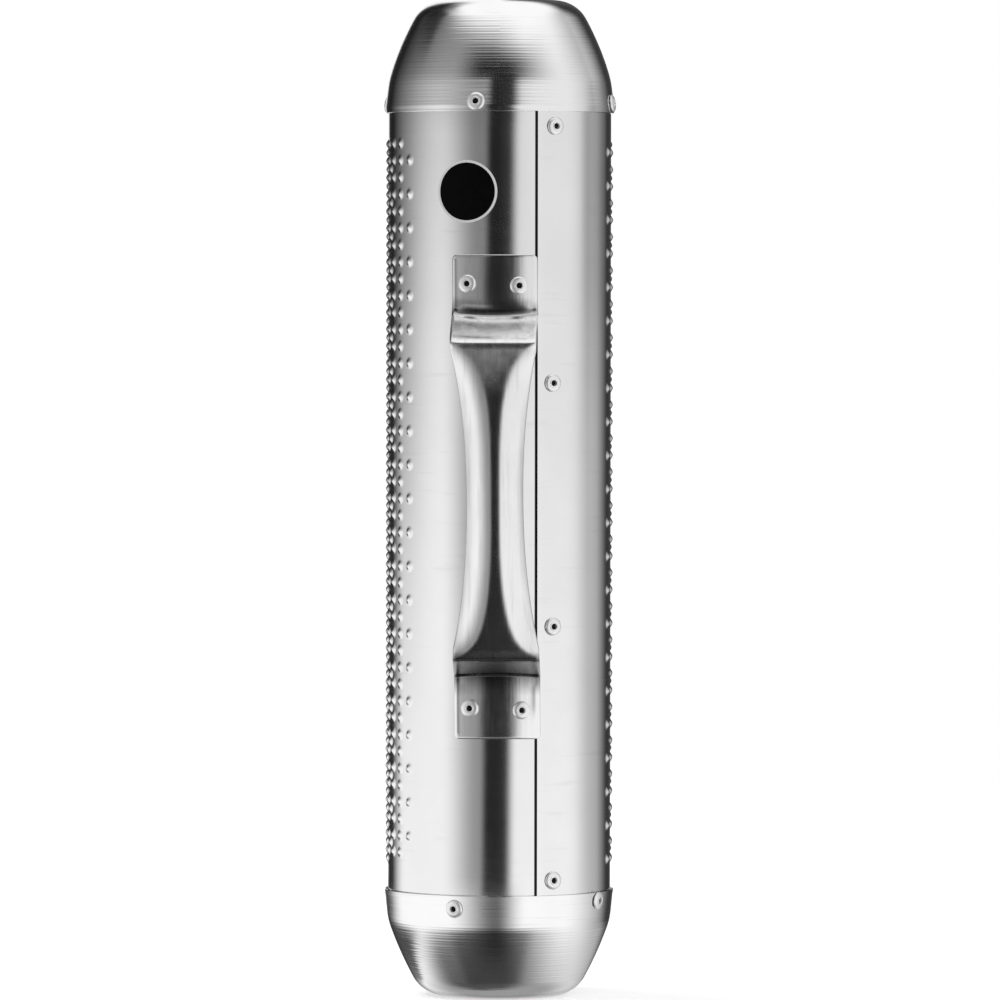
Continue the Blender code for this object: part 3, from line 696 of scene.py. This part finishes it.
def drum_sheet(material):
    """The rolled sheet as a fine closed shell with its domed bumps and its lap."""
    half_along = BUMP_PITCH_ALONG / 2.0
    rows = int((UPPER_RIM - LOWER_RIM - 2.0 * FIELD_MARGIN) / half_along) + 1
    field_top = (UPPER_RIM + LOWER_RIM) / 2.0 + half_along * (rows - 1) / 2.0
    field_bottom = field_top - half_along * (rows - 1)
    span = FIELD_END - FIELD_START
    columns = round(span * TUBE_RADIUS / (BUMP_PITCH_ROUND / 2.0)) + 1
    half_round = span / (columns - 1)

    right_end = FIELD_START - half_round
    left_end = FIELD_END + half_round
    hidden_edge = SEAM_ANGLE + 2.0 * math.pi + SEAM_OVERLAP / TUBE_RADIUS
    angles = evenly(SEAM_ANGLE, right_end, PLAIN_STEP)[:-1]
    angles += evenly(right_end, left_end, half_round / SHEET_STEPS_PER_BUMP)
    angles += evenly(left_end, hidden_edge, PLAIN_STEP)[1:]
    heights = evenly(TUBE_TOP, UPPER_RIM, END_STEP)
    heights += evenly(field_top + half_along, field_bottom - half_along, half_along / SHEET_STEPS_PER_BUMP)
    heights += evenly(LOWER_RIM, TUBE_BOTTOM, END_STEP)

    def raised(angle, height):
        """How far the nearest bumps lift the sheet."""
        across = (angle - FIELD_START) / half_round
        along = (field_top - height) / half_along
        lift = 0.0
        for column in (math.floor(across), math.floor(across) + 1):
            for row in (math.floor(along), math.floor(along) + 1):
                if bump_is_there(column, row, columns, rows):
                    sideways = (across - column) * half_round * TUBE_RADIUS
                    away = math.hypot(sideways, (along - row) * half_along)
                    share = min(away / BUMP_RADIUS, 1.0)
                    lift = max(lift, BUMP_HEIGHT * 0.5 * (1.0 + math.cos(math.pi * share)))
        return lift

    points = []
    for angle in angles:
        for height in heights:
            points.append(polar(sheet_radius(angle) - tuck(height) + raised(angle, height), angle, height))
    for angle in angles:
        for height in (TUBE_TOP, TUBE_BOTTOM):
            points.append(polar(sheet_radius(angle) - tuck(height) - SHEET_THICKNESS, angle, height))

    count = len(heights)
    inner = len(angles) * count
    last = len(angles) - 1
    faces = []
    for column in range(last):
        left = column * count
        right = left + count
        for row in range(count - 1):
            faces.append((left + row + 1, right + row + 1, right + row, left + row))
        inner_left = inner + 2 * column
        inner_right = inner_left + 2
        faces.append((inner_left + 1, inner_left, inner_right, inner_right + 1))
        faces.append((left, right, inner_right, inner_left))
        faces.append((left + count - 1, inner_left + 1, inner_right + 1, right + count - 1))
    first_edge = list(range(count)) + [inner + 1, inner]
    last_edge = [last * count + row for row in range(count)] + [inner + 2 * last + 1, inner + 2 * last]
    faces.append(first_edge[::-1])
    faces.append(last_edge)

    mesh = bpy.data.meshes.new("drum_sheet")
    mesh.from_pydata(points, [], faces)
    show(add_object("drum_sheet", mesh, material), "tube_sheet")


# End caps

def spin_ridge(way):
    """Small uneven ridges that the spinning tool left round a cap, at a way along its outline."""
    return SPIN_RIDGE * sum(share * math.sin(way * turns + phase) for share, turns, phase in SPIN_WAVES)


def cap_slope(depth, shoulder):
    """How fast a cap widens with depth: a bowed cone, a rounded shoulder and a flared skirt."""
    cone_end, cone_end_slope, skirt_start, skirt_slope = shoulder
    along_cone = (depth - CORNER_DEPTH) / (cone_end - CORNER_DEPTH)
    cone = CONE_SLOPE + (cone_end_slope - CONE_SLOPE) * along_cone
    turn = smooth_step((depth - cone_end) / (skirt_start - cone_end))
    return cone * (1.0 - turn) + skirt_slope * turn


def cap_radius(depth, shoulder):
    """Outside radius of a cap at a depth below its end face, without its rim: the sum of its slopes."""
    step = (depth - CORNER_DEPTH) / CAP_SUM_STEPS
    depths = [CORNER_DEPTH + step * (index + 0.5) for index in range(CAP_SUM_STEPS)]
    return CORNER_RADIUS + step * sum(cap_slope(place, shoulder) for place in depths)


def cap_outline(rim_depth, rim_turn, shoulder):
    """Points (radius, depth) of a cap's outside from the axis to its rim."""
    heading = math.atan(1.0 / CONE_SLOPE)
    fillet = CORNER_DEPTH / (1.0 - math.cos(heading))
    flat = CORNER_RADIUS - fillet * math.sin(heading)
    points = [Vector((flat * index / CAP_FLAT_STEPS, 0.0)) for index in range(CAP_FLAT_STEPS)]
    for step in range(CAP_CORNER_STEPS):
        angle = heading * step / CAP_CORNER_STEPS
        points.append(Vector((flat + fillet * math.sin(angle), fillet * (1.0 - math.cos(angle)))))
    for depth in evenly(CORNER_DEPTH, rim_depth, CAP_STEP):
        turn = rim_turn * (1.0 - smooth_step((rim_depth - depth) / RIM_TURN_LENGTH))
        points.append(Vector((cap_radius(depth, shoulder) + turn, depth)))
    return points


def spun_cap(name, node, rim_depth, rim_turn, shoulder, upside_down, material):
    """One spun cup with its tool ridges and a rounded rim."""
    outline = cap_outline(rim_depth, rim_turn, shoulder)
    outer = []
    inner = []
    for index, point in enumerate(outline):
        along = (outline[min(index + 1, len(outline) - 1)] - outline[max(index - 1, 0)]).normalized()
        outward = Vector((along.y, -along.x))
        ridge = spin_ridge(point.x + point.y) * smooth_step(point.x / CORNER_RADIUS)
        outer.append(point + outward * ridge)
        inner.append(point - outward * CAP_WALL)
    inner[0].x = 0.0
    rim_middle = (outer[-1] + inner[-1]) / 2.0
    rim = []
    for step in range(1, RIM_STEPS):
        angle = math.pi * step / RIM_STEPS
        rim.append(rim_middle + Vector((math.cos(angle), math.sin(angle))) * CAP_WALL / 2.0)
    profile = outer + rim + inner[::-1]
    item = add_object(name, turned(name, profile, CAP_SEGMENTS, closed=False), material)
    if upside_down:
        item.matrix_basis = Matrix.Translation((0.0, 0.0, DRUM_LENGTH)) @ Matrix.Rotation(math.pi, 4, "X")
    show(item, node)


# Handle

def foot_angle(height):
    """Angle of the handle's middle line, which leans a little from foot to foot."""
    share = (height - LOWER_FOOT_RIVETS) / (UPPER_FOOT_RIVETS - LOWER_FOOT_RIVETS)
    return LOWER_FOOT_ANGLE + (UPPER_FOOT_ANGLE - LOWER_FOOT_ANGLE) * share


def on_handle(across, outward, height):
    """A point of the handle from its distance across the strap and out from the drum's axis."""
    angle = foot_angle(height)
    return Vector((across * math.cos(angle) + outward * math.sin(angle),
                   across * math.sin(angle) - outward * math.cos(angle), height))


def strap_shares():
    """Places across the strap from -1 to 1, closer together towards its edges."""
    return [-math.cos(math.pi * column / STRAP_COLUMNS) for column in range(STRAP_COLUMNS + 1)]


def edge_roll(from_edge):
    """How far the strap's pressed edges turn down."""
    return EDGE_ROLL * (1.0 - math.sqrt(1.0 - (1.0 - min(from_edge / EDGE_ROLL_WIDTH, 1.0)) ** 2))


def across_foot(way):
    """Distance across and height lost at a way along a foot's curve from its middle line."""
    turn = way / FOOT_CURVE
    return FOOT_CURVE * math.sin(turn), FOOT_CURVE * (1.0 - math.cos(turn))


def toe(height, from_fold):
    """How far a foot lifts off the drum towards its fold, where it reaches a height."""
    return height * max(0.0, 1.0 - from_fold / TOE_REACH) ** 2


def edge_lip(share):
    """Height of the low bead that the shears raised beside a foot's left edge."""
    away = ((1.0 + share) * FOOT_HALF - EDGE_LIP_INSET) / EDGE_LIP_WIDTH
    return EDGE_LIP * math.exp(-away * away)


def edge_bead(height, share, from_fold):
    """The broad bead of a height along a foot's right edge, which fades out away from the fold."""
    away = ((1.0 - share) * FOOT_HALF - EDGE_BEAD_INSET) / EDGE_BEAD_WIDTH
    full, gone = EDGE_BEAD_FADE
    return height * math.exp(-away * away) * smooth_step((gone - from_fold) / (gone - full))


def pinch(share, from_fold):
    """Depth of the dents that folding left near the corners of a foot."""
    sideways = (1.0 - abs(share)) * FOOT_HALF - PINCH_INSET
    away = math.hypot(sideways, from_fold - PINCH_RISE) / PINCH_RADIUS
    return PINCH_DEPTH * math.exp(-away * away)


def grip_row(share_along):
    """A row across the grip: a flat that narrows from its ends (-1 and 1), with rounded sides."""
    reach = abs(share_along)
    middle = (UPPER_RIDGE + LOWER_RIDGE) / 2.0
    height = middle + share_along * (UPPER_RIDGE - LOWER_RIDGE) / 2.0
    crown = RIDGE_RADIUS + GRIP_BOW * (1.0 - reach ** 2)
    half = WAIST_HALF + (RIDGE_HALF - WAIST_HALF) * min(reach / FULL_WIDTH_FROM, 1.0) ** WIDENING_POWER
    flare = UPPER_FLARE if share_along > 0.0 else LOWER_FLARE
    flat = RIDGE_HALF * (reach ** FLAT_POWER + reach ** flare) / 2.0
    bend = WAIST_BEND * (1.0 - sum(share * reach ** power for share, power in UNBENDING))
    row = []
    for share in strap_shares():
        if bend < LEAST_BEND:
            row.append(on_handle(share * half, crown, height))
            continue
        radius = (half - flat) / math.sin(bend)
        length = flat + radius * bend
        turn = max(abs(share) * length - flat, 0.0) / radius
        across = min(abs(share) * length, flat) + radius * math.sin(turn)
        row.append(on_handle(math.copysign(across, share), crown - radius * (1.0 - math.cos(turn)), height))
    return row


def foot_rows(free_end, fold, away, slope, lean, toe_height, bead_height):
    """Rows of one foot from its free end, with rounded corners, to its fold, which the riser bends."""
    rows = []
    for step in range(CORNER_STEPS):
        angle = math.radians(90.0) * step / CORNER_STEPS
        half_width = FOOT_HALF - FOOT_CORNER * (1.0 - math.sin(angle))
        height = free_end - away * FOOT_CORNER * (1.0 - math.cos(angle))
        row = []
        for share in strap_shares():
            across, drop = across_foot(share * half_width)
            row.append(on_handle(across, FOOT_RADIUS - drop + lean * across, height))
        rows.append(row)
    full_width = free_end - away * FOOT_CORNER
    for share_along in evenly(0.0, 1.0, FOOT_STEP / abs(fold - full_width)):
        row = []
        for share in strap_shares():
            across, drop = across_foot(share * FOOT_HALF)
            from_fold = (1.0 - share_along) * abs(fold + away * drop * slope - full_width)
            lift = lean * across + toe(toe_height, from_fold) + edge_bead(bead_height, share, from_fold)
            lift += edge_lip(share) - pinch(share, from_fold)
            row.append(on_handle(across, FOOT_RADIUS - drop + lift, fold + away * (drop * slope + from_fold)))
        rows.append(row)
    return rows


def rounded(before, corner, after, reach_before, reach_after):
    """Replace a sharp row by rows that round the fold, over a reach to either side."""
    def towards(point, other, reach):
        way = other - point
        return point + way * min(FOLD_MOST, reach / way.length)

    entering = [towards(point, other, reach_before) for point, other in zip(corner, before)]
    leaving = [towards(point, other, reach_after) for point, other in zip(corner, after)]
    rows = []
    for step in range(FOLD_STEPS + 1):
        share = step / FOLD_STEPS
        rows.append([start.lerp(middle, share).lerp(middle.lerp(end, share), share)
                     for start, middle, end in zip(entering, corner, leaving)])
    return rows


def strap_handle(material):
    """The pressed strap: two feet, two risers and the arched grip, with a thickness and soft edges."""
    lower_slope = LOWER_RISER_RUN / RISER_RISE
    upper_slope = UPPER_RISER_RUN / (RISER_RISE - TOE_LIFT)
    lower = foot_rows(LOWER_FOOT_END, LOWER_FOLD, -1.0, lower_slope, LOWER_FOOT_LEAN, 0.0, EDGE_BEAD)
    upper = foot_rows(UPPER_FOOT_END, UPPER_FOLD, 1.0, upper_slope, 0.0, TOE_LIFT, 0.0)
    lower_fold = lower[-1]
    upper_fold = upper[-1]
    lower = lower[:-FOLD_CLEAR]
    upper = upper[:-FOLD_CLEAR]
    lower_ridge = grip_row(-1.0)
    upper_ridge = grip_row(1.0)
    grip = [grip_row(-math.cos(math.pi * step / GRIP_STEPS)) for step in range(1, GRIP_STEPS)]
    grip = [row for row in grip
            if lower_ridge[0].z + LOWER_RIDGE_REACH < row[0].z < upper_ridge[0].z - UPPER_RIDGE_REACH]

    rows = list(lower)
    rows += rounded(lower[-1], lower_fold, lower_ridge, FOLD_REACH, FOLD_REACH)
    rows += rounded(lower_fold, lower_ridge, grip[0], LOWER_RISER_REACH, LOWER_RIDGE_REACH)
    rows += grip
    rows += rounded(grip[-1], upper_ridge, upper_fold, UPPER_RIDGE_REACH, UPPER_RISER_REACH)
    rows += rounded(upper_ridge, upper_fold, upper[-1], FOLD_REACH, FOLD_REACH)
    rows += upper[::-1]

    bm = bmesh.new()
    grid = [[bm.verts.new(point) for point in row] for row in rows]
    for below, above in zip(grid, grid[1:]):
        for column in range(STRAP_COLUMNS):
            bm.faces.new((below[column], below[column + 1], above[column + 1], above[column]))
    bm.normal_update()
    # The edges turn down along the whole strap, and once more round the upper foot
    for part, free_end in ((grid, LOWER_FOOT_END), (grid[-len(upper):], UPPER_FOOT_END)):
        for row in part:
            for share, point in zip(strap_shares(), row):
                from_edge = min((1.0 - abs(share)) * FOOT_HALF, abs(point.co.z - free_end))
                point.co -= point.normal * edge_roll(from_edge)
    item = add_object("strap_handle", mesh_from(bm, "strap_handle"), material)
    thicken = item.modifiers.new("sheet thickness", "SOLIDIFY")
    thicken.thickness = HANDLE_THICKNESS
    thicken.offset = -1.0
    show(item, "handle")


# Rivets

def rivet_head():
    """Outline (radius, height) of a set head: a collar round the bore, and a dome that steepens outwards."""
    points = []
    for step in range(COLLAR_STEPS + 1):
        turn = math.pi * step / COLLAR_STEPS
        points.append((RIVET_BORE_RADIUS + RIVET_COLLAR_WIDTH / 2.0 * (1.0 - math.cos(turn)),
                       RIVET_DOME_HEIGHT + RIVET_COLLAR_HEIGHT * math.sin(turn)))
    dome_start = RIVET_BORE_RADIUS + RIVET_COLLAR_WIDTH
    for step in range(1, RIVET_DOME_STEPS + 1):
        turn = RIVET_DOME_TURN * step / RIVET_DOME_STEPS
        outwards = math.sin(turn) / math.sin(RIVET_DOME_TURN)
        downwards = (1.0 - math.cos(turn)) / (1.0 - math.cos(RIVET_DOME_TURN))
        points.append((dome_start + (RIVET_HEAD_RADIUS - dome_start) * outwards,
                       RIVET_DOME_HEIGHT + (RIVET_EDGE_HEIGHT - RIVET_DOME_HEIGHT) * downwards))
    return points


def blind_rivet(node, seat, angle, height, lean, turn, material, mandrel_shade_material):
    """A set blind rivet, and the snapped mandrel stub inside its bore."""
    grip = seat + FIT_GAP - (TUBE_BORE - FIT_GAP)
    tail_end = -grip - RIVET_TAIL_LENGTH
    body = rivet_head()
    body += [(RIVET_HEAD_RADIUS * share, rise) for share, rise in RIVET_UNDERSIDE]
    body += [(RIVET_SHANK_RADIUS, 0.0), (RIVET_SHANK_RADIUS, -grip)]
    body += [(RIVET_TAIL_RADIUS * share, -grip - RIVET_TAIL_LENGTH * along) for share, along in RIVET_TAIL]
    body.append((RIVET_BORE_RADIUS, tail_end))
    place = radial_frame(seat + FIT_GAP, angle, height) @ Matrix.Rotation(lean, 4, "X")
    place = place @ Matrix.Rotation(turn, 4, "Z")
    item = add_object(node + "_body", turned(node, body, RIVET_SEGMENTS, closed=True), material)
    item.matrix_basis = place
    show(item, node)

    head_start = tail_end - FIT_GAP
    taper, along = MANDREL_HEAD_TAPER
    stub = [(MANDREL_RADIUS * share, rise) for share, rise in MANDREL_END]
    stub += [
        (MANDREL_RADIUS, head_start),
        (MANDREL_HEAD_RADIUS, head_start),
        (MANDREL_HEAD_RADIUS * taper, head_start - MANDREL_HEAD_LENGTH * along),
        (0.0, head_start - MANDREL_HEAD_LENGTH),
    ]
    name = node + "_mandrel"
    item = add_object(name + "_stub", turned(name, stub, RIVET_SEGMENTS, closed=False), mandrel_shade_material)
    item.matrix_basis = place
    show(item, name)


def all_rivets(material, mandrel_shade_material):
    """The cap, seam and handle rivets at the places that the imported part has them."""
    rivets = []
    cap_rivets = (
        ("upper_cap_rivet", UPPER_CAP_RIVET_ANGLE, UPPER_RIM + UPPER_CAP_RIVET_INSET, -1.0,
         UPPER_SHOULDER, UPPER_CAP_RIVET_DRIFT),
        ("lower_cap_rivet", LOWER_CAP_RIVET_ANGLE, LOWER_RIM - LOWER_CAP_RIVET_INSET, 1.0,
         LOWER_SHOULDER, LOWER_CAP_RIVET_DRIFT),
    )
    for name, first_angle, level, side, shoulder, drifts in cap_rivets:
        for index, (upwards, sideways) in enumerate(drifts):
            height = level + upwards
            depth = min(height, DRUM_LENGTH - height)
            seat = cap_radius(depth, shoulder)
            angle = first_angle + 2.0 * math.pi * index / len(drifts) + sideways / seat
            lean = side * math.atan(cap_slope(depth, shoulder))
            rivets.append((f"{name}_{index + 1}", seat, angle, height, lean))
    first = LOWER_RIM + SEAM_RIVET_MARGIN
    spacing = (UPPER_RIM - SEAM_RIVET_MARGIN - first) / (len(SEAM_RIVET_DRIFT) - 1)
    for index, (upwards, sideways) in enumerate(SEAM_RIVET_DRIFT):
        angle = SEAM_ANGLE + SEAM_RIVET_EDGE / TUBE_RADIUS + sideways / TUBE_RADIUS
        height = first + spacing * index + upwards
        rivets.append((f"seam_rivet_{index + 1}", TUBE_RADIUS + SEAM_STEP, angle, height, 0.0))
    places = [(level, side) for level in (LOWER_FOOT_RIVETS, UPPER_FOOT_RIVETS) for side in (-1.0, 1.0)]
    for index, (level, side) in enumerate(places):
        across, drop = across_foot(side * HANDLE_RIVET_SPACING / 2.0 + HANDLE_RIVET_OFFSET)
        seat = math.hypot(across, FOOT_RADIUS - drop)
        angle = foot_angle(level) + math.atan2(across, FOOT_RADIUS - drop)
        height = level - side * HANDLE_RIVET_DROP / 2.0
        rivets.append((f"handle_rivet_{index + 1}", seat, angle, height, 0.0))
    for index, (node, seat, angle, height, lean) in enumerate(rivets):
        blind_rivet(node, seat, angle, height, lean, RIVET_TURN * index, material, mandrel_shade_material)


# Label

def label_disc(film, border):
    """The plain round label, wrapped onto the drum, with its pale border as a ring of faces."""
    base = TUBE_RADIUS + FIT_GAP
    top = base + LABEL_THICKNESS
    middle = UPPER_RIM - LABEL_DROP
    soft = LABEL_THICKNESS / 2.0
    ease = LABEL_EDGE_EASE * soft
    field = [(LABEL_RADIUS * step / LABEL_RINGS, top) for step in range(1, LABEL_RINGS - 1)]
    rings = field + [(LABEL_RADIUS - LABEL_BORDER, top), (LABEL_RADIUS - soft, top),
                     (LABEL_RADIUS - ease, top - ease), (LABEL_RADIUS, top - soft), (LABEL_RADIUS, base)]
    bm = bmesh.new()

    def ring_point(reach, radius, turn):
        angle = LABEL_ANGLE + reach * math.sin(turn) / top
        return bm.verts.new(polar(radius, angle, middle + reach * math.cos(turn)))

    turns = [2.0 * math.pi * index / LABEL_SEGMENTS for index in range(LABEL_SEGMENTS)]
    loops = [[ring_point(reach, radius, turn) for turn in turns] for reach, radius in rings]
    front = ring_point(0.0, top, 0.0)
    back = ring_point(0.0, base, 0.0)
    for index in range(LABEL_SEGMENTS):
        after = (index + 1) % LABEL_SEGMENTS
        bm.faces.new((front, loops[0][index], loops[0][after]))
        bm.faces.new((back, loops[-1][after], loops[-1][index]))
        for number in range(len(loops) - 1):
            face = bm.faces.new((loops[number][index], loops[number + 1][index],
                                 loops[number + 1][after], loops[number][after]))
            face.material_index = 1 if number >= len(field) else 0
    bmesh.ops.recalc_face_normals(bm, faces=bm.faces)
    item = add_object("label_disc", mesh_from(bm, "label_disc"), film, border)
    show(item, "round_label")


# Studio

def soft_band(value, low, high, soft_low, soft_high):
    """1 from low to high, fading out over soft_low before it and soft_high after it."""
    fade_in = smooth_step((value - low + soft_low) / soft_low)
    fade_out = smooth_step((high + soft_high - value) / soft_high)
    return fade_in * fade_out


def studio_shade(azimuth, elevation):
    """How dark the surroundings are in a direction, from 0 for white to 1 for black."""
    clear = 1.0
    for sideways, upward, lean, darkness in DARK_CARDS.values():
        leaning = azimuth - lean * elevation
        clear *= 1.0 - darkness * soft_band(leaning, *sideways) * soft_band(elevation, *upward)
    return 1.0 - clear


def dark_cards():
    """A dome that carries the dark cards; only reflections show it."""
    azimuths = range(-180, 180, DOME_DEGREES)
    elevations = range(-90, 91, DOME_DEGREES)
    points = []
    shades = []
    for elevation in elevations:
        for azimuth in azimuths:
            level = math.radians(elevation)
            points.append(polar(DOME_RADIUS * math.cos(level), math.radians(azimuth),
                                DOME_HEIGHT + DOME_RADIUS * math.sin(level)))
            shades.append(studio_shade(azimuth, elevation))
    across = len(azimuths)
    faces = []
    for row in range(len(elevations) - 1):
        for column in range(across):
            after = (column + 1) % across
            faces.append((row * across + column, row * across + after,
                          (row + 1) * across + after, (row + 1) * across + column))
    mesh = bpy.data.meshes.new("dark_cards")
    mesh.from_pydata(points, [], faces)
    mesh.attributes.new("shade", "FLOAT", "POINT").data.foreach_set("value", shades)

    nodes = Nodes("dark_card")
    nodes.tree.nodes.remove(nodes.shader)
    black = nodes.add("ShaderNodeEmission")
    black.inputs["Color"].default_value = grey(CARD_GREY)
    mixed = nodes.add("ShaderNodeMixShader")
    nodes.join(nodes.add("ShaderNodeAttribute", attribute_name="shade").outputs["Fac"], mixed.inputs[0])
    nodes.join(nodes.add("ShaderNodeBsdfTransparent").outputs[0], mixed.inputs[1])
    nodes.join(black.outputs[0], mixed.inputs[2])
    nodes.join(mixed.outputs[0], nodes.tree.nodes["Material Output"].inputs["Surface"])
    mesh.materials.append(nodes.material)
    item = put_in_scene("dark_cards", mesh)
    item.visible_camera = False
    item.visible_diffuse = False
    item.visible_shadow = False


def seen_directly(nodes):
    """1 for camera, glossy and transmission rays, which show the white background as it is."""
    path = nodes.add("ShaderNodeLightPath")
    either = nodes.math("MAXIMUM", path.outputs["Is Camera Ray"], path.outputs["Is Glossy Ray"])
    return nodes.math("MAXIMUM", either, path.outputs["Is Transmission Ray"])


class WorldNodes(Nodes):
    """The same short ways for the world's nodes."""

    def __init__(self):
        world = bpy.data.worlds.new("white studio")
        world.use_nodes = True
        bpy.context.scene.world = world
        self.tree = world.node_tree
        self.background = self.tree.nodes["Background"]


def white_studio():
    """White surroundings, a pale floor that takes the shadow, and soft lamps."""
    world = WorldNodes()
    world.background.inputs["Color"].default_value = grey(1.0)
    strength = world.between(seen_directly(world), 0.0, 1.0, WORLD_LEVEL, 1.0)
    world.join(strength, world.background.inputs["Strength"])

    nodes = Nodes("pale_floor")
    nodes.shade("Base Color", grey(FLOOR_GREY))
    nodes.shade("Roughness", FLOOR_ROUGHNESS)
    nodes.shade("Specular IOR Level", 0.0)
    nodes.shade("Emission Color", grey(1.0))
    nodes.shade("Emission Strength", nodes.times(seen_directly(nodes), FLOOR_GLOW))
    bm = bmesh.new()
    bmesh.ops.create_circle(bm, cap_ends=True, segments=FLOOR_SEGMENTS, radius=FLOOR_RADIUS)
    floor = add_object("floor", mesh_from(bm, "floor"), nodes.material)
    floor.visible_glossy = False

    for name, (place, width, power) in LAMPS.items():
        light = bpy.data.lights.new(name, "AREA")
        light.shape = "DISK"
        light.size = width
        light.energy = power
        item = put_in_scene(name, light)
        item.location = place
        item.rotation_euler = (LAMP_TARGET - Vector(place)).to_track_quat("-Z", "Y").to_euler()
        item.visible_camera = False
        item.visible_glossy = False


def camera():
    """The camera at the photo's viewing angle, with a long lens."""
    lens = bpy.data.cameras.new("camera")
    lens.lens = CAMERA_LENS
    lens.sensor_width = CAMERA_SENSOR
    item = put_in_scene("camera", lens)
    item.location = (CAMERA_SIDE, -CAMERA_DISTANCE, CAMERA_HEIGHT)
    item.rotation_euler = (math.radians(90.0) + CAMERA_TILT, CAMERA_ROLL, 0.0)
    bpy.context.scene.camera = item


def build():
    """Every piece of the guira, then the camera and the studio."""
    drum_sheet(tube_finish())
    cap_steel = cap_finish()
    spun_cap("upper_cap_spun", "upper_end_cap", BOWL_DEPTH + UPPER_SKIRT, UPPER_RIM_TURN,
             UPPER_SHOULDER, True, cap_steel)
    spun_cap("lower_cap_spun", "lower_end_cap", BOWL_DEPTH + LOWER_SKIRT, LOWER_RIM_TURN,
             LOWER_SHOULDER, False, cap_steel)
    strap_handle(handle_finish())
    all_rivets(rivet_finish(), mandrel_shade_finish())
    label_disc(film_finish("label_film", LABEL_GREYS), film_finish("label_border", LABEL_BORDER_GREYS))
    camera()
    white_studio()
    dark_cards()
    bpy.context.scene.view_settings.view_transform = "Standard"


build()
